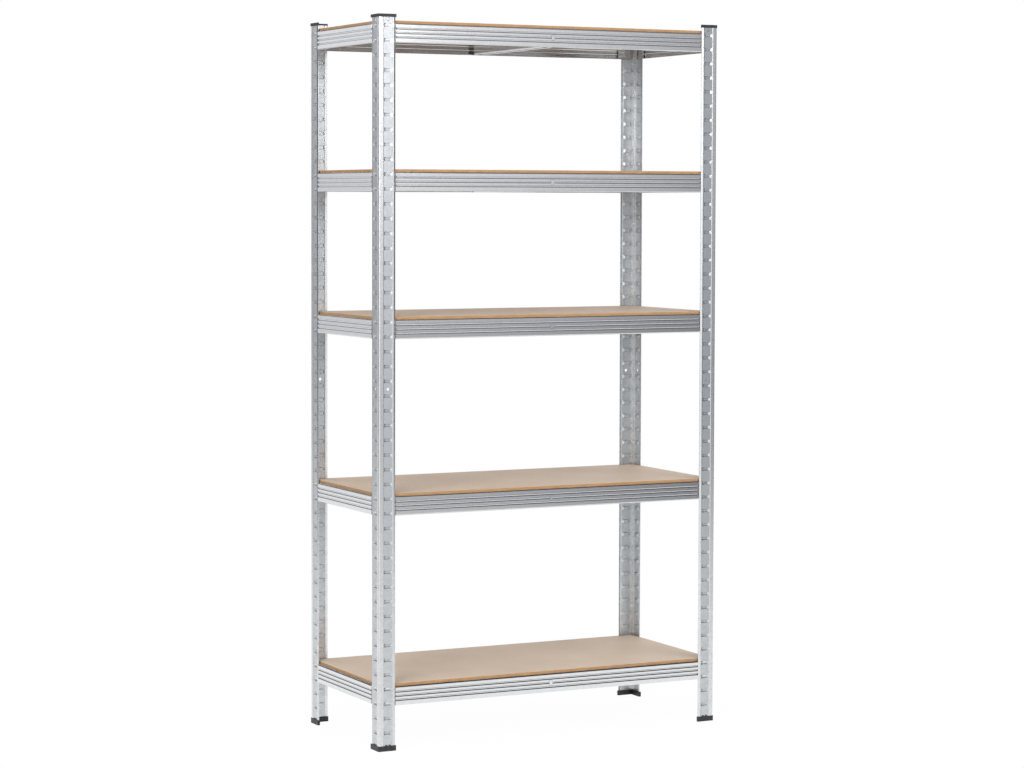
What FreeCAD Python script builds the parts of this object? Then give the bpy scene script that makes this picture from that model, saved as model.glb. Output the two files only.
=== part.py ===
import FreeCAD, Part
import math
import os

import Sketcher

# Galvanised boltless shelving unit with five tiers.
# Millimetres. X is the width, -Y the front, +Z up. The origin is on the floor, in the middle of the footprint.

SIZES = {
    # whole rack, measured over the posts
    "rack_width": 900,
    "rack_depth": 400,
    "rack_height": 1700,
    # corner posts, an L of sheet steel with a shallow slotted band and a bent lip on each flange
    "post_gauge": 1.5,
    "flange_width": 42,
    "corner_radius": 3,
    "band_start": 11,
    "band_step": 0.6,
    "step_run": 1.5,
    "edge_strip": 1.5,
    "lip_width": 4.5,
    "lip_drop": 1.8,
    # bow tie slots in both flanges, each bridged by a strap pressed inwards
    "slot_pitch": 34,
    "slot_first": 42,
    "slot_width": 21,
    "slot_end": 9.5,
    "slot_neck": 6.4,
    "strap_height": 8,
    "strap_slope": 4,
    # joint of the post halves, and round holes there and at the top
    "splice_gap": 3,
    "hole_diameter": 7,
    "hole_inset": 9,
    # plates inside the joint of the post halves
    "connector_gauge": 1.5,
    "connector_height": 80,
    "connector_radius": 3,
    "connector_gap": 0.1,
    # plastic feet and caps
    "shoe_wall": 1.2,
    "shoe_gap": 0.2,
    "shoe_radius": 4,
    "foot_sole": 4,
    "foot_skirt": 8,
    "cap_plate": 4,
    "cap_skirt": 3,
    "clip_width": 4,
    "clip_rise": 2.5,
    "clip_spacing": 9,
    # ribbed beams
    "beam_gauge": 1,
    "beam_height": 45,
    "beam_ledge": 16,
    "beam_lip": 9,
    "shoulder_radius": 3.5,
    "toe_radius": 2.5,
    "groove_pitch": 9.8,
    "groove_width": 5,
    "groove_depth": 2,
    "notch_length": 3,
    "beam_gap": 0.5,
    # tongues behind the straps of the posts at the beam ends, with claws that drop over the straps
    "tongue_gap": 0.2,
    "tongue_root": 10,
    "claw_width": 10,
    "claw_gap": 0.2,
    "claw_rest": 0.2,
    "claw_bridge": 1.8,
    "claw_drop": 4,
    # tie bars, hooked through the faces of the long beams
    "tie_gauge": 1,
    "tie_width": 36,
    "tie_radius": 3.5,
    "tie_groove_width": 12,
    "tie_groove_depth": 2,
    "tie_gap": 0.3,
    "hook_width": 8,
    "hook_height": 12,
    "hook_gap": 0.5,
    # loose boards
    "board_thickness": 6,
    "board_gap": 1,
}

# whole slots in the lower half of a post
LOWER_SLOTS = 24
# whole slots below the hooks of the lowest tier
SLOTS_BELOW = 2
# slot pitches from the highest tier down to each of the next ones
STEPS_DOWN = (10, 10, 12)
# grooves along the face of a beam, in pitches from its middle
GROOVE_PLACES = (1, 0, -1)
# corners of the rack, with the side of X and Y and the turn of the post about Z
CORNERS = {
    "front_left": (-1, -1, 0),
    "front_right": (1, -1, 90),
    "rear_right": (1, 1, 180),
    "rear_left": (-1, 1, 270),
}


class Size:
    """A length that keeps its value together with the sheet expression that gives it."""

    def __init__(self, value, text):
        self.value = value
        self.text = text

    def __add__(self, other):
        return joined(self, "+", other, self.value + number(other))

    def __sub__(self, other):
        return joined(self, "-", other, self.value - number(other))

    def __mul__(self, other):
        return joined(self, "*", other, self.value * number(other))

    def __truediv__(self, other):
        return joined(self, "/", other, self.value / number(other))

    def __neg__(self):
        return Size(-self.value, "(-%s)" % self.text)

    def root(self):
        return Size(math.sqrt(self.value), "sqrt(%s)" % self.text)


def number(item):
    return item.value if isinstance(item, Size) else item


def joined(left, sign, right, value):
    text = right.text if isinstance(right, Size) else repr(right)
    return Size(value, "(%s %s %s)" % (left.text, sign, text))


def half(size):
    return size / 2


def make_sheet(doc):
    """Writes the sheet, and gives each size by its name together with the ones that follow from it."""
    sheet = doc.addObject("Spreadsheet::Sheet", "Sizes")
    for row, (alias, value) in enumerate(SIZES.items(), start=1):
        sheet.set("A%d" % row, alias)
        sheet.set("B%d" % row, str(value))
        sheet.setAlias("B%d" % row, alias)
    doc.recompute()
    size = {alias: Size(float(value), "Sizes.%s" % alias) for alias, value in SIZES.items()}
    size["lip_start"] = size["flange_width"] - size["lip_width"]
    size["band_end"] = size["lip_start"] - size["edge_strip"]
    size["slot_centre"] = half(size["band_start"] + size["band_end"])
    size["claw_front"] = size["band_step"] + size["post_gauge"] + size["claw_gap"]
    size["strap_front"] = size["claw_front"] + size["beam_gauge"] + size["claw_gap"]
    size["strap_back"] = size["strap_front"] + size["post_gauge"]
    size["tongue_depth"] = size["strap_back"] + size["tongue_gap"]
    size["board_inset"] = size["strap_back"] + size["board_gap"]
    return size


def new_body(doc, label):
    body = doc.addObject("PartDesign::Body", label)
    body.Label = label
    return body


def origin_feature(body, role):
    return next(item for item in body.Origin.OriginFeatures if item.Role == role)


def place(item, x=None, y=None, z=None, turn=0):
    """Turns the piece about Z and ties its place to the sheet."""
    item.Placement = FreeCAD.Placement(FreeCAD.Vector(), FreeCAD.Rotation(FreeCAD.Vector(0, 0, 1), turn))
    for axis, size in (("x", x), ("y", y), ("z", z)):
        if size is not None:
            item.setExpression(".Placement.Base.%s" % axis, size.text)


def new_sketch(body, name, role, lift=None):
    sketch = body.newObject("Sketcher::SketchObject", "%s_%s" % (body.Name, name))
    sketch.AttachmentSupport = (origin_feature(body, role), [""])
    sketch.MapMode = "FlatFace"
    if lift is not None:
        sketch.setExpression(".AttachmentOffset.Base.z", lift.text)
    return sketch


def arc_between(start, end, radius, turn):
    """Short arc from start to end: turn 1 is counterclockwise, -1 clockwise."""
    chord = end.sub(start)
    reach = math.sqrt(max(radius ** 2 - (chord.Length / 2) ** 2, 0))
    side = FreeCAD.Vector(-chord.y, chord.x, 0).normalize() * reach * turn
    centre = (start + end) * 0.5 + side
    first, last = (start, end) if turn > 0 else (end, start)
    angles = [math.atan2(point.y - centre.y, point.x - centre.x) for point in (first, last)]
    circle = Part.Circle(centre, FreeCAD.Vector(0, 0, 1), radius)
    return Part.ArcOfCircle(circle, angles[0], angles[1])


def point_ties(geometry, point, x, y):
    """Constraints, each with its expression, that tie one point of a sketch to the sketch's origin."""
    ties = []
    for kind, size, axis in (("DistanceX", x, -2), ("DistanceY", y, -1)):
        if not isinstance(size, Size):
            ties.append((Sketcher.Constraint("PointOnObject", geometry, point, axis), None))
        elif size.value > 0:
            ties.append((Sketcher.Constraint(kind, -1, 1, geometry, point, size.value), size.text))
        else:
            ties.append((Sketcher.Constraint(kind, geometry, point, -1, 1, -size.value), (-size).text))
    return ties


def tie(sketch, ties):
    base = sketch.ConstraintCount
    sketch.addConstraint([constraint for constraint, text in ties])
    for offset, (constraint, text) in enumerate(ties):
        if text is not None:
            sketch.setExpression("Constraints[%d]" % (base + offset), text)


def add_outline(sketch, corners):
    """Closed outline. A corner is (x, y), or (x, y, radius, turn) where an arc leads on to the next corner.
    A plain 0 in place of a size puts the corner on the sketch's axis."""
    base = sketch.GeometryCount
    points = [FreeCAD.Vector(number(corner[0]), number(corner[1]), 0) for corner in corners]
    edges = []
    ends = []
    for index, corner in enumerate(corners):
        start = points[index]
        end = points[(index + 1) % len(points)]
        if len(corner) == 2:
            edges.append(Part.LineSegment(start, end))
            ends.append((1, 2))
        else:
            edges.append(arc_between(start, end, corner[2].value, corner[3]))
            ends.append((1, 2) if corner[3] > 0 else (2, 1))
    sketch.addGeometry(edges)
    ties = []
    for index, corner in enumerate(corners):
        after = (index + 1) % len(corners)
        meeting = (base + index, ends[index][1], base + after, ends[after][0])
        ties.append((Sketcher.Constraint("Coincident", *meeting), None))
        ties += point_ties(base + index, ends[index][0], corner[0], corner[1])
        if len(corner) > 2:
            ties.append((Sketcher.Constraint("Radius", base + index, corner[2].value), corner[2].text))
    tie(sketch, ties)


def add_box(sketch, low_x, high_x, low_y, high_y):
    add_outline(sketch, [(low_x, low_y), (high_x, low_y), (high_x, high_y), (low_x, high_y)])


def add_circle(sketch, x, y, diameter):
    middle = FreeCAD.Vector(number(x), number(y), 0)
    index = sketch.addGeometry(Part.Circle(middle, FreeCAD.Vector(0, 0, 1), diameter.value / 2))
    ties = point_ties(index, 3, x, y)
    ties.append((Sketcher.Constraint("Diameter", index, diameter.value), diameter.text))
    tie(sketch, ties)


def pad(body, name, sketch, length, reverse=False, middle=False):
    feature = body.newObject("PartDesign::Pad", "%s_%s" % (body.Name, name))
    feature.Profile = sketch
    feature.Reversed = reverse
    feature.SideType = "Symmetric" if middle else "One side"
    feature.setExpression("Length", length.text)
    return feature


def cut_through(body, name, sketch):
    """Cuts the sketch through the whole body, both ways from its plane."""
    feature = body.newObject("PartDesign::Pocket", "%s_%s" % (body.Name, name))
    feature.Profile = sketch
    feature.SideType = "Symmetric"
    feature.Type = "ThroughAll"
    return feature


def cut(body, name, sketch, length, reverse=False):
    feature = body.newObject("PartDesign::Pocket", "%s_%s" % (body.Name, name))
    feature.Profile = sketch
    feature.Reversed = reverse
    feature.Type = "Length"
    feature.setExpression("Length", length.text)
    return feature


def swapped(corners):
    """The same corners seen across the diagonal of the L, in reverse order."""
    return [(corner[1], corner[0]) for corner in reversed(corners)]


def strap_outline(size, left, right):
    """Strip of the flange between the ends of a slot, pressed inwards with sloping ends, seen from above."""
    outer = size["band_step"]
    inner = outer + size["post_gauge"]
    slope_left = left + size["strap_slope"]
    slope_right = right - size["strap_slope"]
    return [
        (left, outer),
        (slope_left, size["strap_front"]),
        (slope_right, size["strap_front"]),
        (right, outer),
        (right, inner),
        (slope_right, size["strap_back"]),
        (slope_left, size["strap_back"]),
        (left, inner),
    ]


def post_half(doc, label, size, length, hole, first_slot, slots):
    """One half of a corner post, standing on Z = 0 with its outer corner on the Z axis."""
    gauge = size["post_gauge"]
    step = size["band_step"]
    rise_start = size["band_start"] + size["step_run"]
    rise_end = size["band_end"] - size["step_run"]
    outside = [
        (size["flange_width"], size["lip_drop"]),
        (size["lip_start"], 0),
        (size["band_end"], 0),
        (rise_end, step),
        (rise_start, step),
        (size["band_start"], 0),
    ]
    inside = [
        (size["band_start"], gauge),
        (rise_start, gauge + step),
        (rise_end, gauge + step),
        (size["band_end"], gauge),
        (size["lip_start"], gauge),
        (size["flange_width"], size["lip_drop"] + gauge),
    ]
    outer_radius = size["corner_radius"]
    inner_radius = outer_radius - gauge
    corners = (
        outside + [(outer_radius, 0, outer_radius, -1), (0, outer_radius)] + swapped(outside)
        + swapped(inside) + [(gauge, outer_radius, inner_radius, 1), (outer_radius, gauge)] + inside
    )
    body = new_body(doc, label)
    profile = new_sketch(body, "section", "XY_Plane")
    add_outline(profile, corners)
    pad(body, "sheet", profile, length)
    reach = half(size["slot_width"])
    sag = half(size["slot_end"] - size["slot_neck"])
    bow = (reach * reach + sag * sag) / (sag * 2)
    left = size["slot_centre"] - reach
    right = size["slot_centre"] + reach
    bottom = first_slot - half(size["slot_end"])
    top = first_slot + half(size["slot_end"])
    slot_features = []
    for plane in ("XZ_Plane", "YZ_Plane"):
        round_hole = new_sketch(body, "hole_" + plane, plane)
        add_circle(round_hole, size["slot_centre"], hole, size["hole_diameter"])
        cut_through(body, "hole_cut_" + plane, round_hole)
        slot = new_sketch(body, "slot_" + plane, plane)
        add_outline(slot, [(left, bottom, bow, -1), (right, bottom), (right, top, bow, -1), (left, top)])
        slot_features.append(cut_through(body, "slot_cut_" + plane, slot))
    straps = new_sketch(body, "straps", "XY_Plane", first_slot - half(size["strap_height"]))
    strap = strap_outline(size, left, right)
    add_outline(straps, strap)
    add_outline(straps, swapped(strap))
    slot_features.append(pad(body, "strap_pad", straps, size["strap_height"]))
    row = body.newObject("PartDesign::LinearPattern", body.Name + "_slot_row")
    row.Originals = slot_features
    row.Direction = (origin_feature(body, "Z_Axis"), [""])
    row.Mode = "Spacing"
    row.setExpression("Offset", size["slot_pitch"].text)
    row.Occurrences = slots
    body.Tip = row
    return body


def connector(doc, label, size):
    """L plate that bridges the two halves of a post, in its inner corner and clear of the straps."""
    gauge = size["connector_gauge"]
    back = size["post_gauge"] + size["connector_gap"]
    front = back + gauge
    bend = back + size["connector_radius"]
    end = size["band_start"]
    body = new_body(doc, label)
    sketch = new_sketch(body, "section", "XY_Plane")
    add_outline(sketch, [
        (back, bend, size["connector_radius"], 1),
        (bend, back),
        (end, back),
        (end, front),
        (bend, front, size["connector_radius"] - gauge, -1),
        (front, bend),
        (front, end),
        (back, end),
    ])
    pad(body, "plate", sketch, size["connector_height"], middle=True)
    return body


def shoe_outline(size, grow, inner, radius=None):
    """L round the section of a post, grown outwards by the given distance, with its inner edge at inner."""
    reach = size["flange_width"] + grow
    if radius is None:
        start = [(-grow, -grow)]
    else:
        start = [(-grow, radius - grow, radius, 1), (radius - grow, -grow)]
    return start + [(reach, -grow), (reach, inner), (inner, inner), (inner, reach), (-grow, reach)]


def shoe(doc, label, size, plate, skirt, inner_wall, upside_down):
    """Plastic foot or cap: a plate across the end of a post with a skirt round its section."""
    body = new_body(doc, label)
    grow = size["shoe_gap"] + size["shoe_wall"]
    well_edge = size["lip_drop"] + size["post_gauge"] + size["shoe_gap"]
    edge = well_edge + size["shoe_wall"] if inner_wall else well_edge
    outer = new_sketch(body, "outer", "XY_Plane")
    add_outline(outer, shoe_outline(size, grow, edge, size["shoe_radius"]))
    pad(body, "block", outer, plate + skirt, reverse=upside_down)
    well = new_sketch(body, "well", "XY_Plane", -plate if upside_down else plate)
    add_outline(well, shoe_outline(size, size["shoe_gap"], well_edge))
    cut(body, "well_cut", well, skirt, reverse=not upside_down)
    return body


def foot(doc, label, size):
    """Foot with two clips that rise above its rim on each outer wall."""
    body = shoe(doc, label, size, size["foot_sole"], size["foot_skirt"], True, False)
    outer = -(size["shoe_gap"] + size["shoe_wall"])
    inner = -size["shoe_gap"]
    rim = size["foot_sole"] + size["foot_skirt"]
    spread = half(size["clip_spacing"])
    clips = new_sketch(body, "clips", "XY_Plane", rim)
    for middle in (size["slot_centre"] - spread, size["slot_centre"] + spread):
        low = middle - half(size["clip_width"])
        high = middle + half(size["clip_width"])
        add_box(clips, low, high, outer, inner)
        add_box(clips, outer, inner, low, high)
    pad(body, "clip_pad", clips, size["clip_rise"])
    return body


def groove(width, depth, gauge):
    """Radius of a rounded groove, and half the widths of its outer and inner skins."""
    reach = half(width)
    radius = (reach * reach + depth * depth) / (depth * 2)
    wide = radius + gauge
    rise = wide - depth
    return radius, reach, (wide * wide - rise * rise).root()


def beam_section(size):
    """Corners of the ribbed sheet, in depth and height: ledge at the top, ribbed face, lip at the bottom."""
    gauge = size["beam_gauge"]
    top = half(size["beam_height"])
    bottom = -top
    shoulder = size["shoulder_radius"]
    toe = size["toe_radius"]
    radius, reach, reach_inside = groove(size["groove_width"], size["groove_depth"], gauge)
    outside = []
    inside = []
    for place_in_pitches in GROOVE_PLACES:
        high = size["groove_pitch"] * place_in_pitches + reach
        low = size["groove_pitch"] * place_in_pitches - reach
        outside += [(0, high, radius, -1), (0, low)]
        high_inside = size["groove_pitch"] * place_in_pitches + reach_inside
        low_inside = size["groove_pitch"] * place_in_pitches - reach_inside
        inside = [(gauge, low_inside, radius + gauge, 1), (gauge, high_inside)] + inside
    upper = [(size["beam_ledge"], top), (shoulder, top, shoulder, 1), (0, top - shoulder)]
    lower = [(0, bottom + toe, toe, 1), (toe, bottom), (size["beam_lip"], bottom)]
    lower_inside = [
        (size["beam_lip"], bottom + gauge),
        (toe, bottom + gauge, toe - gauge, -1),
        (gauge, bottom + toe),
    ]
    upper_inside = [
        (gauge, top - shoulder, shoulder - gauge, -1),
        (shoulder, top - gauge),
        (size["beam_ledge"], top - gauge),
    ]
    return upper + outside + lower + lower_inside + inside + upper_inside


def beam(doc, label, size, span, hooked):
    """Beam along X with its face on Y = 0 and its middle height on Z = 0. The span is over the posts."""
    gauge = size["beam_gauge"]
    depth = size["tongue_depth"]
    top = half(size["beam_height"])
    body = new_body(doc, label)
    section = new_sketch(body, "section", "YZ_Plane")
    add_outline(section, beam_section(size))
    clear = span - (size["flange_width"] + size["beam_gap"]) * 2
    pad(body, "sheet", section, clear, middle=True)
    notches = new_sketch(body, "notches", "XZ_Plane")
    notch_start = half(clear) - size["notch_length"]
    notch_end = half(clear) + size["beam_gap"]
    for place_in_pitches in GROOVE_PLACES:
        low = size["groove_pitch"] * place_in_pitches - half(size["groove_width"])
        high = low + size["groove_width"]
        add_box(notches, notch_start, notch_end, low, high)
        add_box(notches, -notch_end, -notch_start, low, high)
    cut(body, "notch_cut", notches, size["groove_depth"] + gauge)
    inner = half(span) - size["slot_centre"] - half(size["claw_width"])
    outer = inner + size["claw_width"]
    root = half(clear) - size["tongue_root"]
    tongues = new_sketch(body, "tongues", "XZ_Plane", -depth)
    add_box(tongues, root, outer, -top, top)
    add_box(tongues, -outer, -root, -top, top)
    pad(body, "tongue_pad", tongues, gauge, reverse=True)
    bridges = new_sketch(body, "bridges", "XZ_Plane", -depth)
    tips = new_sketch(body, "tips", "XZ_Plane", -size["claw_front"])
    for level in (-half(size["slot_pitch"]), half(size["slot_pitch"])):
        strap_top = level + half(size["strap_height"])
        seat = strap_top + size["claw_rest"]
        back = seat + size["claw_bridge"]
        add_box(bridges, inner, outer, seat, back)
        add_box(bridges, -outer, -inner, seat, back)
        add_box(tips, inner, outer, strap_top - size["claw_drop"], back)
        add_box(tips, -outer, -inner, strap_top - size["claw_drop"], back)
    pad(body, "bridge_pad", bridges, depth - size["claw_front"])
    pad(body, "tip_pad", tips, gauge, reverse=True)
    if hooked:
        slot = new_sketch(body, "hook_slot", "XZ_Plane")
        wide = half(size["hook_width"]) + size["hook_gap"]
        high = half(size["hook_height"]) + size["hook_gap"]
        add_box(slot, -wide, wide, -high, high)
        cut(body, "hook_cut", slot, size["beam_ledge"])
    return body


def tie_bar(doc, label, size):
    """Channel along Y under the middle of a board, open at the top, with a hook at each end."""
    gauge = size["tie_gauge"]
    wide = half(size["tie_width"])
    top = half(size["beam_height"])
    bottom = -top
    curve = size["tie_radius"]
    radius, reach, reach_inside = groove(size["tie_groove_width"], size["tie_groove_depth"], gauge)
    corners = [
        (-wide, top),
        (-wide, bottom + curve, curve, 1),
        (curve - wide, bottom),
        (-reach, bottom, radius, -1),
        (reach, bottom),
        (wide - curve, bottom, curve, 1),
        (wide, bottom + curve),
        (wide, top),
        (wide - gauge, top),
        (wide - gauge, bottom + curve, curve - gauge, -1),
        (wide - curve, bottom + gauge),
        (reach_inside, bottom + gauge, radius + gauge, 1),
        (-reach_inside, bottom + gauge),
        (curve - wide, bottom + gauge, curve - gauge, -1),
        (gauge - wide, bottom + curve),
        (gauge - wide, top),
    ]
    body = new_body(doc, label)
    section = new_sketch(body, "section", "XZ_Plane")
    add_outline(section, corners)
    length = size["rack_depth"] - (size["beam_ledge"] + size["tie_gap"]) * 2
    pad(body, "channel", section, length, middle=True)
    across = half(size["hook_width"])
    tall = half(size["hook_height"])
    hook_length = size["beam_ledge"] + size["tie_gap"]
    for name, end, outwards in (("front", half(length), False), ("rear", -half(length), True)):
        plate = new_sketch(body, name + "_end", "XZ_Plane", end)
        add_box(plate, gauge - wide, wide - gauge, bottom + curve, top - curve)
        pad(body, name + "_end_pad", plate, gauge, reverse=not outwards)
        hook = new_sketch(body, name + "_hook", "XZ_Plane", end)
        add_box(hook, -across, across, -tall, tall)
        pad(body, name + "_hook_pad", hook, hook_length, reverse=outwards)
    return body


def board(doc, label, size):
    """Plain board that lies on the ledges of the four beams of its tier."""
    panel = doc.addObject("Part::Box", label)
    panel.Label = label
    panel.setExpression("Length", (size["rack_width"] - size["board_inset"] * 2).text)
    panel.setExpression("Width", (size["rack_depth"] - size["board_inset"] * 2).text)
    panel.setExpression("Height", size["board_thickness"].text)
    return panel


def copy_of(doc, label, pattern):
    """Body that repeats a pattern piece, with a place of its own."""
    body = new_body(doc, label)
    base = body.newObject("PartDesign::FeatureBase", label + "_copy")
    base.BaseFeature = pattern
    body.Tip = base
    return body


def slot_height(size, index):
    return size["slot_first"] + size["slot_pitch"] * index


def highest_slot(size):
    """Number of the last slot that stays clear of the round hole at the top of the posts."""
    hole_edge = size["rack_height"] - size["cap_plate"] - size["hole_inset"] - half(size["hole_diameter"])
    room = hole_edge - size["post_gauge"] - half(size["slot_end"]) - size["slot_first"]
    return int(room.value / size["slot_pitch"].value)


def tier_levels(size):
    """Middle heights of the beams of each tier, from the lowest, halfway between the two slots they hook into."""
    lower_slots = [highest_slot(size) - 1]
    for steps in STEPS_DOWN:
        lower_slots.append(lower_slots[-1] - steps)
    lower_slots.append(SLOTS_BELOW)
    return [slot_height(size, index) + half(size["slot_pitch"]) for index in reversed(lower_slots)]


def build_corners(doc, size):
    bottom = size["foot_sole"]
    top = size["rack_height"] - size["cap_plate"]
    upper_first = slot_height(size, LOWER_SLOTS)
    splice = upper_first - half(size["slot_end"]) - size["splice_gap"]
    last_lower_edge = slot_height(size, LOWER_SLOTS - 1) + half(size["slot_end"])
    splice_hole = half(last_lower_edge + splice)
    upper_slots = highest_slot(size) - LOWER_SLOTS + 1
    kinds = {
        "post_lower": (bottom, post_half(
            doc, "pattern_post_lower", size, splice - bottom, splice_hole - bottom,
            size["slot_first"] - bottom, LOWER_SLOTS)),
        "post_upper": (splice, post_half(
            doc, "pattern_post_upper", size, top - splice, top - size["hole_inset"] - splice,
            upper_first - splice, upper_slots)),
        "connector": (splice, connector(doc, "pattern_connector", size)),
        "foot": (None, foot(doc, "pattern_foot", size)),
        "cap": (size["rack_height"], shoe(
            doc, "pattern_cap", size, size["cap_plate"], size["cap_skirt"], False, True)),
    }
    pieces = []
    for corner, (side_x, side_y, turn) in CORNERS.items():
        x = half(size["rack_width"]) * side_x
        y = half(size["rack_depth"]) * side_y
        for kind, (height, pattern) in kinds.items():
            piece = copy_of(doc, "%s_%s" % (kind, corner), pattern)
            place(piece, x, y, height, turn)
            pieces.append(piece)
    return pieces


def build_tiers(doc, size):
    face_x = half(size["rack_width"])
    face_y = half(size["rack_depth"])
    long_beam = beam(doc, "pattern_long_beam", size, size["rack_width"], True)
    side_beam = beam(doc, "pattern_side_beam", size, size["rack_depth"], False)
    bar = tie_bar(doc, "pattern_tie_bar", size)
    kinds = {
        "beam_front": (long_beam, None, -face_y, 0),
        "beam_rear": (long_beam, None, face_y, 180),
        "beam_left": (side_beam, -face_x, None, 270),
        "beam_right": (side_beam, face_x, None, 90),
        "tie_bar": (bar, None, None, 0),
    }
    pieces = []
    for count, level in enumerate(tier_levels(size), start=1):
        for kind, (pattern, x, y, turn) in kinds.items():
            piece = copy_of(doc, "%s_%d" % (kind, count), pattern)
            place(piece, x, y, level, turn)
            pieces.append(piece)
        panel = board(doc, "board_%d" % count, size)
        inset = size["board_inset"]
        place(panel, inset - face_x, inset - face_y, level + half(size["beam_height"]))
        pieces.append(panel)
    return pieces


def check(doc, pieces):
    for item in doc.Objects:
        if "Invalid" in item.State or "Error" in item.State:
            raise RuntimeError("%s failed: %s" % (item.Label, item.State))
    for piece in pieces:
        if piece.Shape.isNull() or not piece.Shape.isValid():
            raise RuntimeError("%s has no sound shape" % piece.Label)
        if len(piece.Shape.Solids) != 1:
            raise RuntimeError("%s is not one solid" % piece.Label)


def main():
    doc = FreeCAD.newDocument("shelving_unit")
    size = make_sheet(doc)
    pieces = build_corners(doc, size) + build_tiers(doc, size)
    doc.recompute()
    check(doc, pieces)
    os.makedirs("parts", exist_ok=True)
    for piece in pieces:
        piece.Shape.exportStep("parts/%s.step" % piece.Label)
    print("wrote %d pieces" % len(pieces))


main()
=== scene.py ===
import math

import bpy
from mathutils import Matrix, Vector

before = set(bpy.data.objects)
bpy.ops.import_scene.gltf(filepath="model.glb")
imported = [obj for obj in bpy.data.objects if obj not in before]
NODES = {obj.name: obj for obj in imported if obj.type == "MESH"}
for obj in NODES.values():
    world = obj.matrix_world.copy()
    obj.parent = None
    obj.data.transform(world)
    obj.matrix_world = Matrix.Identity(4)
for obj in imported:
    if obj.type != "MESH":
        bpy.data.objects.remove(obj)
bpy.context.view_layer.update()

# camera at the photograph's viewing angle; lens and sensor in millimetres
CAMERA_PLACE = Vector((-3.031, -5.903, 1.270))
CAMERA_YAW = math.radians(26.07)
CAMERA_PITCH = math.radians(-2.74)
CAMERA_ROLL = math.radians(0.10)
CAMERA_LENS = 95.98
CAMERA_SENSOR = 36.0
CAMERA_SHIFT = (0.05, -0.05)
CAMERA_REACH = 100.0

# full share of a colour, where nothing darkens it
WHOLE = (1.0, 1.0, 1.0)

# zinc: darkest and palest tone of the coating, and the roughness of each
BRIGHT_TONES = ((0.74, 0.75, 0.765), (0.80, 0.805, 0.81))
BRIGHT_ROUGHNESS = (0.16, 0.11)
DULL_TONES = ((0.67, 0.685, 0.70), (0.81, 0.82, 0.83))
DULL_ROUGHNESS = (0.34, 0.24)
# its patterns in cells per metre, the share of the tone that each makes, and the range that the sum covers
CRYSTAL_SCALE = 300.0
CRYSTAL_SHARE = 0.35
FLAKE_SCALE = 90.0
FLAKE_SHARE = 0.2
STREAK_ALONG = 5.0
STREAK_ACROSS = 520.0
STREAK_SHARE = 0.25
CLOUD_SCALE = 9.0
CLOUD_SHARE = 0.2
TONE_RANGE = (0.25, 0.80)
# noise that bends the borders of the crystals, with its reach in metres, and shallow dents in the sheet
WOBBLE_SCALE = 90.0
WOBBLE_REACH = 0.005
DENT_SCALE = 45.0
DENT_STRENGTH = 0.03
DENT_DEPTH = 0.0004

# slotted band of each post flange, in metres from the outer faces of the posts
POST_OUTSIDE = (0.450, 0.200)
POST_BAND = (0.0118, 0.0358)
BAND_TONE = (0.84, 0.86, 0.87, 1.0)
BAND_ROUGHNESS = 0.06

# painted shade in the recesses of the posts, by how open the surface is to what lies within reach
RECESS_SHADE_REACH = 0.006
RECESS_SHADE_SAMPLES = 8
RECESS_SHADE_STOPS = ((0.40, (0.18, 0.19, 0.20)), (0.78, WHOLE))

# painted shade that darkens the slopes of the beams that face up, by how far they do, with less of it higher
# up;
# level faces lie under the boards and stay bright
SLOPE_SHADE_TONE = (0.10, 0.115, 0.14)
SLOPE_SHADE_STOPS = ((0.05, WHOLE), (0.30, SLOPE_SHADE_TONE), (0.75, SLOPE_SHADE_TONE), (0.92, (0.90, 0.91, 0.92)))
SLOPE_SHADE_HEIGHTS = (0.1, 1.7)
SLOPE_SHADE_AMOUNTS = (1.0, 0.30)

# fibreboard: patterns in cells per metre, and their tones
FIBRE_SCALES = (260.0, 900.0, 900.0)
FIBRE_STOPS = ((0.30, (0.490, 0.378, 0.282)), (0.50, (0.598, 0.484, 0.386)), (0.72, (0.685, 0.574, 0.474)))
FLECK_SCALE = 420.0
FLECK_STOPS = ((0.30, (0.62, 0.56, 0.50)), (0.42, WHOLE))
FLECK_SHARE = 0.5
PATCH_SCALE = 6.0
PATCH_STOPS = ((0.3, (0.93, 0.92, 0.91)), (0.7, (1.03, 1.03, 1.03)))
LAYER_SCALES = (40.0, 40.0, 1500.0)
EDGE_STOPS = ((0.3, (0.27, 0.145, 0.058)), (0.7, (0.43, 0.25, 0.115)))
# share of the colour that is left on the rough back of a board, and how level a face is that is no cut edge
BACK_TONE = (0.68, 0.70, 0.72, 1.0)
FACE_LEVEL = 0.5
# roughness and relief that follow the fibres
FIBRE_RANGE = (0.2, 0.8)
BOARD_ROUGHNESS = (0.62, 0.48)
FIBRE_STRENGTH = 0.25
FIBRE_DEPTH = 0.0004

# black plastic: moulded grain, and wear that makes it paler and rougher
GRAIN_SCALE = 1400.0
GRAIN_STRENGTH = 0.15
GRAIN_DEPTH = 0.0003
WEAR_SCALE = 130.0
WEAR_STOPS = ((0.35, (0.010, 0.010, 0.011)), (0.75, (0.026, 0.026, 0.027)))
WEAR_RANGE = (0.3, 0.7)
PLASTIC_ROUGHNESS = (0.38, 0.52)

# pale floor, shown white from the outer radius on, and near the rack with a trace of its shadow
FLOOR_HALF = 30.0
FLOOR_TONE = (0.90, 0.90, 0.90, 1.0)
SHADOW_RADII = (0.6, 2.4)
SHADOW_WHITENESS = (0.975, 1.0)

# white that is seen round about and in reflections, and the soft light that the room throws on things, by how
# far up its direction points
WHITE = (1.0, 1.0, 1.0, 1.0)
ROOM_STOPS = ((0.0, (0.60, 0.60, 0.61)), (0.5, (0.95, 0.95, 0.95)))

# tall screens and a dim ceiling that only show as reflections in the sheet
SCREEN_RADIUS = 4.2
SCREEN_HEIGHT = 3.4
SCREEN_STEPS = 24
SCREEN_BLUE = 1.03
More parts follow.
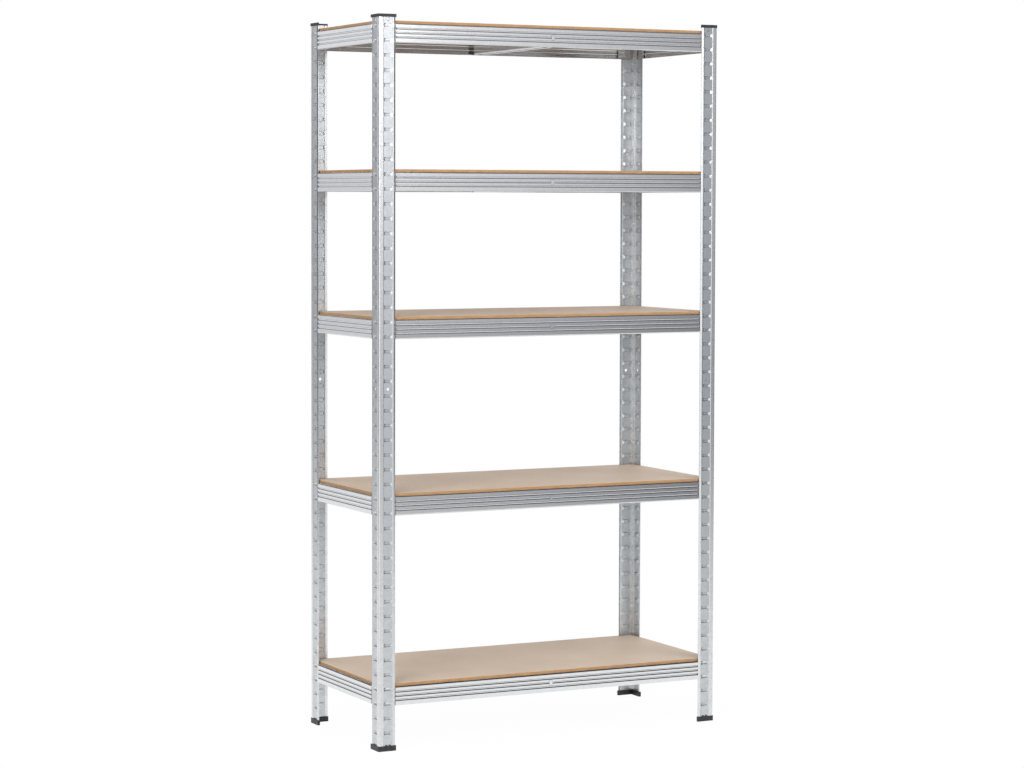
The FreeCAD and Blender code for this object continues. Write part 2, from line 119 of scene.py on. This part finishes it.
# each screen has an arc in degrees from the front towards the right, greys by height in metres, and the share
# of that grey that is left at each angle
SCREENS = {
    "screen_front": {
        "arc": (2.0, 125.0),
        "heights": ((0.0, 0.80), (0.08, 0.55), (0.20, 0.40), (0.40, 0.24), (0.70, 0.46), (1.1, 0.85),
                    (2.1, 1.0), (2.5, 0.40), (3.4, 0.30)),
        "fade": ((2.0, 1.0), (18.0, 1.0), (26.0, 0.82), (33.0, 0.58), (37.0, 0.38), (60.0, 0.26),
                 (90.0, 0.20)),
    },
    "screen_rear": {
        "arc": (150.0, 275.0),
        "heights": ((0.0, 1.0), (0.4, 0.82), (0.9, 0.72), (1.4, 0.76), (1.9, 0.92), (2.3, 1.0),
                    (3.4, 0.95)),
        "fade": ((150.0, 0.20), (198.0, 0.20), (205.0, 1.0), (217.0, 1.0), (224.0, 0.20), (275.0, 0.20)),
    },
}
CEILING_HALF = 4.2
CEILING_TONE = (0.28, 0.28, 0.28, 1.0)

# soft lamps: place, target and size in metres, power in watts, and whether the sheet mirrors them
LAMPS = {
    "lamp_left": {
        "place": (-3.4, -2.6, 3.0), "target": (0, 0, 0.9), "size": (2.4, 2.4),
        "power": 110, "mirrored": True,
    },
    "lamp_right": {
        "place": (2.2, -4.4, 2.6), "target": (0, 0, 0.9), "size": (2.4, 1.4),
        "power": 85, "mirrored": False,
    },
    "lamp_front": {
        "place": (0.55, -4.05, 2.30), "target": (0, 0, 1.6), "size": (1.5, 1.5),
        "power": 26, "mirrored": True,
    },
}


def add_node(tree, kind, inputs=None, **settings):
    """Adds a shader node, with its settings, and its inputs as values or as links from other sockets."""
    node = tree.nodes.new(kind)
    for name, value in settings.items():
        setattr(node, name, value)
    for name, value in (inputs or {}).items():
        socket = node.inputs[name]
        if isinstance(value, bpy.types.NodeSocket):
            tree.links.new(value, socket)
        else:
            socket.default_value = value
    return node


def ramp(tree, factor, stops):
    """Colour ramp through (position, colour) stops."""
    node = add_node(tree, "ShaderNodeValToRGB", {"Fac": factor})
    elements = node.color_ramp.elements
    while len(elements) < len(stops):
        elements.new(0.5)
    for element, (position, colour) in zip(elements, stops):
        element.position = position
        element.color = (*colour, 1.0)
    return node.outputs["Color"]


def spread(tree, value, low, high, to_low, to_high):
    """Maps a value from one range to another, and holds it at the ends."""
    node = add_node(tree, "ShaderNodeMapRange", {
        "Value": value, "From Min": low, "From Max": high, "To Min": to_low, "To Max": to_high})
    return node.outputs["Result"]


def math_node(tree, operation, first, second=0.0):
    """Result of an operation on one or two values or sockets."""
    node = add_node(tree, "ShaderNodeMath", {0: first, 1: second}, operation=operation)
    return node.outputs["Value"]


def weighted_sum(tree, terms):
    """Sum of sockets, each times its weight."""
    total = None
    for socket, weight in terms:
        if total is None:
            total = math_node(tree, "MULTIPLY", socket, weight)
        else:
            step = add_node(tree, "ShaderNodeMath", {0: socket, 1: weight, 2: total},
                            operation="MULTIPLY_ADD")
            total = step.outputs["Value"]
    return total


def mix_colour(tree, factor, first, second, blend="MIX"):
    """Mix of two colours, through the sockets that the mix node has for colours."""
    node = add_node(tree, "ShaderNodeMix", {0: factor, 6: first, 7: second},
                    data_type="RGBA", blend_type=blend)
    return node.outputs[2]


def scaled(tree, vector, scale):
    """Coordinates times a scale for each axis."""
    node = add_node(tree, "ShaderNodeMapping", {"Vector": vector, "Scale": scale})
    return node.outputs["Vector"]


def noise(tree, vector, scale=1.0, detail=2.0, roughness=0.5):
    """Grey noise at a scale in cells per metre."""
    node = add_node(tree, "ShaderNodeTexNoise", {
        "Vector": vector, "Scale": scale, "Detail": detail, "Roughness": roughness})
    return node.outputs["Fac"]


def split(tree, vector):
    """X, Y and Z sockets of a vector."""
    return add_node(tree, "ShaderNodeSeparateXYZ", {"Vector": vector}).outputs


def upward(tree):
    """How far the surface faces up: 1 for a level top, 0 for a wall, -1 for an underside."""
    normal = add_node(tree, "ShaderNodeNewGeometry").outputs["True Normal"]
    return split(tree, normal)["Z"]


def new_material(name):
    """New material with its node tree, its shader and the coordinates of the solids."""
    material = bpy.data.materials.new(name)
    material.use_nodes = True
    tree = material.node_tree
    shader = tree.nodes["Principled BSDF"]
    coords = add_node(tree, "ShaderNodeTexCoord").outputs["Object"]
    return material, tree, shader, coords


def finish_surface(tree, shader, colour, gloss, relief, strength, depth):
    """Gives a shader its colour, its roughness and a fine relief."""
    tree.links.new(colour, shader.inputs["Base Color"])
    tree.links.new(gloss, shader.inputs["Roughness"])
    bump = add_node(tree, "ShaderNodeBump", {"Height": relief, "Strength": strength, "Distance": depth})
    tree.links.new(bump.outputs["Normal"], shader.inputs["Normal"])


def cell_tone(tree, vector, scale, channel):
    """Random tone for each cell of a mosaic."""
    cells = add_node(tree, "ShaderNodeTexVoronoi", {"Vector": vector, "Scale": scale})
    return add_node(tree, "ShaderNodeSeparateColor", {"Color": cells.outputs["Color"]}).outputs[channel]


def zinc_tone(tree, coords, streak_scale):
    """Pattern of the coating: small crystals and larger flakes, faint rolling streaks and clouds."""
    wobble = add_node(tree, "ShaderNodeTexNoise", {"Vector": coords, "Scale": WOBBLE_SCALE, "Detail": 2.0})
    push = add_node(tree, "ShaderNodeVectorMath", {0: wobble.outputs["Color"], 1: (WOBBLE_REACH,) * 3},
                    operation="MULTIPLY").outputs["Vector"]
    bent = add_node(tree, "ShaderNodeVectorMath", {0: coords, 1: push}, operation="ADD").outputs["Vector"]
    return weighted_sum(tree, [
        (cell_tone(tree, bent, CRYSTAL_SCALE, "Red"), CRYSTAL_SHARE),
        (cell_tone(tree, bent, FLAKE_SCALE, "Green"), FLAKE_SHARE),
        (noise(tree, scaled(tree, coords, streak_scale), detail=3.0), STREAK_SHARE),
        (noise(tree, coords, CLOUD_SCALE, detail=3.0), CLOUD_SHARE),
    ])


def slot_band(tree, coords):
    """1 on the slotted band of a post flange, and 0 on the strips beside it."""
    places = split(tree, coords)
    band = None
    for axis, outside in zip("XY", POST_OUTSIDE):
        inwards = math_node(tree, "SUBTRACT", outside, math_node(tree, "ABSOLUTE", places[axis]))
        past_start = math_node(tree, "GREATER_THAN", inwards, POST_BAND[0])
        before_end = math_node(tree, "LESS_THAN", inwards, POST_BAND[1])
        inside = math_node(tree, "MULTIPLY", past_start, before_end)
        band = inside if band is None else math_node(tree, "MAXIMUM", band, inside)
    return band


def with_recess_shade(tree, colour):
    """Darkens a colour in narrow recesses, as painted shade."""
    hollow = add_node(tree, "ShaderNodeAmbientOcclusion", {"Distance": RECESS_SHADE_REACH},
                      samples=RECESS_SHADE_SAMPLES, only_local=True)
    return mix_colour(tree, 1.0, colour, ramp(tree, hollow.outputs["AO"], RECESS_SHADE_STOPS), "MULTIPLY")


def with_slope_shade(tree, coords, colour):
    """Darkens a colour on slopes that face up, as painted shade, less so higher up."""
    amount = spread(tree, split(tree, coords)["Z"], *SLOPE_SHADE_HEIGHTS, *SLOPE_SHADE_AMOUNTS)
    return mix_colour(tree, amount, colour, ramp(tree, upward(tree), SLOPE_SHADE_STOPS), "MULTIPLY")


def zinc(name, streak_scale, tones, roughness, banded=False):
    """Zinc coated sheet, either with a duller band and painted shade in its recesses, or with painted shade
    on its slopes that face up.
    """
    material, tree, shader, coords = new_material(name)
    tone = zinc_tone(tree, coords, streak_scale)
    colour = ramp(tree, tone, list(zip(TONE_RANGE, tones)))
    gloss = spread(tree, tone, *TONE_RANGE, *roughness)
    if banded:
        band = slot_band(tree, coords)
        colour = mix_colour(tree, band, colour, mix_colour(tree, 1.0, colour, BAND_TONE, "MULTIPLY"))
        # painted shade in the recesses of the posts
        colour = with_recess_shade(tree, colour)
        gloss = weighted_sum(tree, [(gloss, 1.0), (band, BAND_ROUGHNESS)])
    else:
        # painted shade on the slopes of the beams that face up
        colour = with_slope_shade(tree, coords, colour)
    shader.inputs["Metallic"].default_value = 1.0
    dents = noise(tree, coords, DENT_SCALE)
    finish_surface(tree, shader, colour, gloss, dents, DENT_STRENGTH, DENT_DEPTH)
    return material


def fibreboard():
    """Pressed board: pale matt face with fine fibres and flecks, darker back and cut edges."""
    material, tree, shader, coords = new_material("fibreboard")
    fibres = noise(tree, scaled(tree, coords, FIBRE_SCALES), detail=4.0, roughness=0.6)
    flecks = noise(tree, coords, FLECK_SCALE, detail=3.0, roughness=0.7)
    patches = noise(tree, coords, PATCH_SCALE, detail=4.0)
    layers = noise(tree, scaled(tree, coords, LAYER_SCALES), detail=3.0)
    face = ramp(tree, fibres, FIBRE_STOPS)
    face = mix_colour(tree, FLECK_SHARE, face, ramp(tree, flecks, FLECK_STOPS), "MULTIPLY")
    face = mix_colour(tree, 1.0, face, ramp(tree, patches, PATCH_STOPS), "MULTIPLY")
    back = mix_colour(tree, 1.0, face, BACK_TONE, "MULTIPLY")
    edge = ramp(tree, layers, EDGE_STOPS)
    rise = upward(tree)
    level = math_node(tree, "GREATER_THAN", math_node(tree, "ABSOLUTE", rise), FACE_LEVEL)
    either = mix_colour(tree, math_node(tree, "LESS_THAN", rise, 0.0), face, back)
    colour = mix_colour(tree, level, edge, either)
    gloss = spread(tree, fibres, *FIBRE_RANGE, *BOARD_ROUGHNESS)
    finish_surface(tree, shader, colour, gloss, fibres, FIBRE_STRENGTH, FIBRE_DEPTH)
    return material


def black_plastic():
    """Moulded plastic with a fine grain, and patches that are rubbed paler and rougher."""
    material, tree, shader, coords = new_material("black_plastic")
    grain = noise(tree, coords, GRAIN_SCALE)
    wear = noise(tree, coords, WEAR_SCALE, detail=4.0)
    colour = ramp(tree, wear, WEAR_STOPS)
    gloss = spread(tree, wear, *WEAR_RANGE, *PLASTIC_ROUGHNESS)
    finish_surface(tree, shader, colour, gloss, grain, GRAIN_STRENGTH, GRAIN_DEPTH)
    return material


def dress():
    """Gives every solid its finish, with rolling streaks along the piece, and posts duller than beams."""
    along, across = STREAK_ALONG, STREAK_ACROSS
    along_x = zinc("zinc_along_x", (along, across, across), BRIGHT_TONES, BRIGHT_ROUGHNESS)
    along_y = zinc("zinc_along_y", (across, along, across), BRIGHT_TONES, BRIGHT_ROUGHNESS)
    along_z = zinc("zinc_along_z", (across, across, along), DULL_TONES, DULL_ROUGHNESS, banded=True)
    board = fibreboard()
    plastic = black_plastic()
    kinds = {
        "post": along_z, "connector": along_z, "beam_front": along_x, "beam_rear": along_x,
        "beam_left": along_y, "beam_right": along_y, "tie_bar": along_y,
        "board": board, "foot": plastic, "cap": plastic,
    }
    for name, item in NODES.items():
        material = next(finish for kind, finish in kinds.items() if name.startswith(kind))
        item.data.materials.clear()
        item.data.materials.append(material)


def stage_piece(name, points, faces):
    """Piece of the studio, and the node tree of its empty material."""
    mesh = bpy.data.meshes.new(name)
    mesh.from_pydata(points, [], faces)
    piece = bpy.data.objects.new(name, mesh)
    bpy.context.scene.collection.objects.link(piece)
    material = bpy.data.materials.new(name)
    material.use_nodes = True
    material.node_tree.nodes.clear()
    mesh.materials.append(material)
    return piece, material.node_tree


def level_square(name, half, height):
    """Level square piece of the studio, and the node tree of its empty material."""
    corners = [(-half, -half, height), (half, -half, height), (half, half, height), (-half, half, height)]
    return stage_piece(name, corners, [(0, 1, 2, 3)])


def show_in_mirrors_only(piece):
    """Leaves a piece of the studio to be seen as a reflection, and gives it no part in light and shadow."""
    piece.visible_camera = False
    piece.visible_diffuse = False
    piece.visible_shadow = False


def glow(tree, colour):
    """Shader that shows a colour as it is."""
    return add_node(tree, "ShaderNodeEmission", {"Color": colour, "Strength": 1.0}).outputs["Emission"]


def seen_or_mirrored(tree):
    """1 for what is seen straight, mirrored or through glass, and 0 for light that falls on things."""
    path = add_node(tree, "ShaderNodeLightPath").outputs
    mirrored = math_node(tree, "MAXIMUM", path["Is Glossy Ray"], path["Is Transmission Ray"])
    return math_node(tree, "MAXIMUM", path["Is Camera Ray"], mirrored)


def mix_shader(tree, factor, first, second):
    """Mix of two shaders."""
    return add_node(tree, "ShaderNodeMixShader", {0: factor, 1: first, 2: second}).outputs["Shader"]


def make_floor():
    """Pale floor, shown white with the rack's faint shadow."""
    _, tree = level_square("floor", FLOOR_HALF, 0.0)
    coords = add_node(tree, "ShaderNodeTexCoord").outputs["Object"]
    radius = add_node(tree, "ShaderNodeVectorMath", {0: coords}, operation="LENGTH").outputs["Value"]
    whiteness = spread(tree, radius, *SHADOW_RADII, *SHADOW_WHITENESS)
    pale = add_node(tree, "ShaderNodeBsdfDiffuse", {"Color": FLOOR_TONE}).outputs["BSDF"]
    shown = mix_shader(tree, whiteness, pale, glow(tree, WHITE))
    surface = mix_shader(tree, seen_or_mirrored(tree), pale, shown)
    add_node(tree, "ShaderNodeOutputMaterial", {"Surface": surface})


def make_ceiling():
    """Dim ceiling on top of the screens, which the sheet mirrors where it slopes up."""
    ceiling, tree = level_square("ceiling", CEILING_HALF, SCREEN_HEIGHT)
    show_in_mirrors_only(ceiling)
    add_node(tree, "ShaderNodeOutputMaterial", {"Surface": glow(tree, CEILING_TONE)})


def screen_ramp(tree, value, first, last, stops, start, end):
    """Ramp over a value, with stops by place between two ends, in greys with a trace of blue."""
    share = spread(tree, value, first, last, 0.0, 1.0)
    greys = [((place - start) / (end - start), (grey, grey, min(grey * SCREEN_BLUE, 1.0)))
             for place, grey in stops]
    return ramp(tree, share, greys)


def make_screen(name, arc, heights, fade):
    """Curved screen round the rack, made about the front and then turned to the middle of its arc."""
    start, end = arc
    half_arc = math.radians(end - start) / 2
    points = []
    for step in range(SCREEN_STEPS + 1):
        angle = half_arc * (2 * step / SCREEN_STEPS - 1)
        x = SCREEN_RADIUS * math.sin(angle)
        y = -SCREEN_RADIUS * math.cos(angle)
        points += [(x, y, 0.0), (x, y, SCREEN_HEIGHT)]
    faces = [(2 * step, 2 * step + 2, 2 * step + 3, 2 * step + 1) for step in range(SCREEN_STEPS)]
    screen, tree = stage_piece(name, points, faces)
    show_in_mirrors_only(screen)
    screen.rotation_euler.z = math.radians(start + end) / 2
    spot = split(tree, add_node(tree, "ShaderNodeTexCoord").outputs["Object"])
    by_height = screen_ramp(tree, spot["Z"], 0.0, SCREEN_HEIGHT, heights, 0.0, SCREEN_HEIGHT)
    turn = math_node(tree, "ARCTAN2", spot["X"], math_node(tree, "MULTIPLY", spot["Y"], -1.0))
    by_angle = screen_ramp(tree, turn, -half_arc, half_arc, fade, start, end)
    colour = mix_colour(tree, 1.0, by_height, by_angle, "MULTIPLY")
    add_node(tree, "ShaderNodeOutputMaterial", {"Surface": glow(tree, colour)})


def backdrop(tree, colour):
    """World shader that shows a colour as it is."""
    return add_node(tree, "ShaderNodeBackground", {"Color": colour, "Strength": 1.0}).outputs["Background"]


def make_world():
    """White round about for the camera and for reflections, and soft light from above for the rest."""
    world = bpy.data.worlds.new("studio")
    bpy.context.scene.world = world
    world.use_nodes = True
    tree = world.node_tree
    tree.nodes.clear()
    height = split(tree, add_node(tree, "ShaderNodeTexCoord").outputs["Generated"])["Z"]
    room = backdrop(tree, ramp(tree, height, ROOM_STOPS))
    surface = mix_shader(tree, seen_or_mirrored(tree), room, backdrop(tree, WHITE))
    add_node(tree, "ShaderNodeOutputWorld", {"Surface": surface})


def make_lamp(name, place, target, size, power, mirrored):
    """Soft lamp, which the sheet mirrors only where it is said to."""
    data = bpy.data.lights.new(name, "AREA")
    data.shape = "RECTANGLE"
    data.size, data.size_y = size
    data.energy = power
    lamp = bpy.data.objects.new(name, data)
    lamp.location = place
    lamp.rotation_euler = (Vector(target) - Vector(place)).to_track_quat("-Z", "Y").to_euler()
    lamp.visible_camera = False
    lamp.visible_glossy = mirrored
    bpy.context.scene.collection.objects.link(lamp)


def make_camera():
    """Camera at its place, turned by yaw, pitch and roll."""
    forward = Vector((math.sin(CAMERA_YAW) * math.cos(CAMERA_PITCH),
                      math.cos(CAMERA_YAW) * math.cos(CAMERA_PITCH), math.sin(CAMERA_PITCH)))
    level = Vector((math.cos(CAMERA_YAW), -math.sin(CAMERA_YAW), 0.0))
    upright = level.cross(forward)
    right = math.cos(CAMERA_ROLL) * level + math.sin(CAMERA_ROLL) * upright
    up = math.cos(CAMERA_ROLL) * upright - math.sin(CAMERA_ROLL) * level
    turn = Matrix((right, up, -forward)).transposed().to_4x4()
    data = bpy.data.cameras.new("camera")
    data.lens = CAMERA_LENS
    data.sensor_width = CAMERA_SENSOR
    data.shift_x, data.shift_y = CAMERA_SHIFT
    data.clip_end = CAMERA_REACH
    camera = bpy.data.objects.new("camera", data)
    camera.matrix_world = Matrix.Translation(CAMERA_PLACE) @ turn
    bpy.context.scene.collection.objects.link(camera)
    bpy.context.scene.camera = camera


make_camera()
make_world()
make_floor()
for screen_name, screen in SCREENS.items():
    make_screen(screen_name, **screen)
make_ceiling()
for lamp_name, lamp in LAMPS.items():
    make_lamp(lamp_name, **lamp)
dress()

bpy.context.scene.view_settings.view_transform = "Standard"
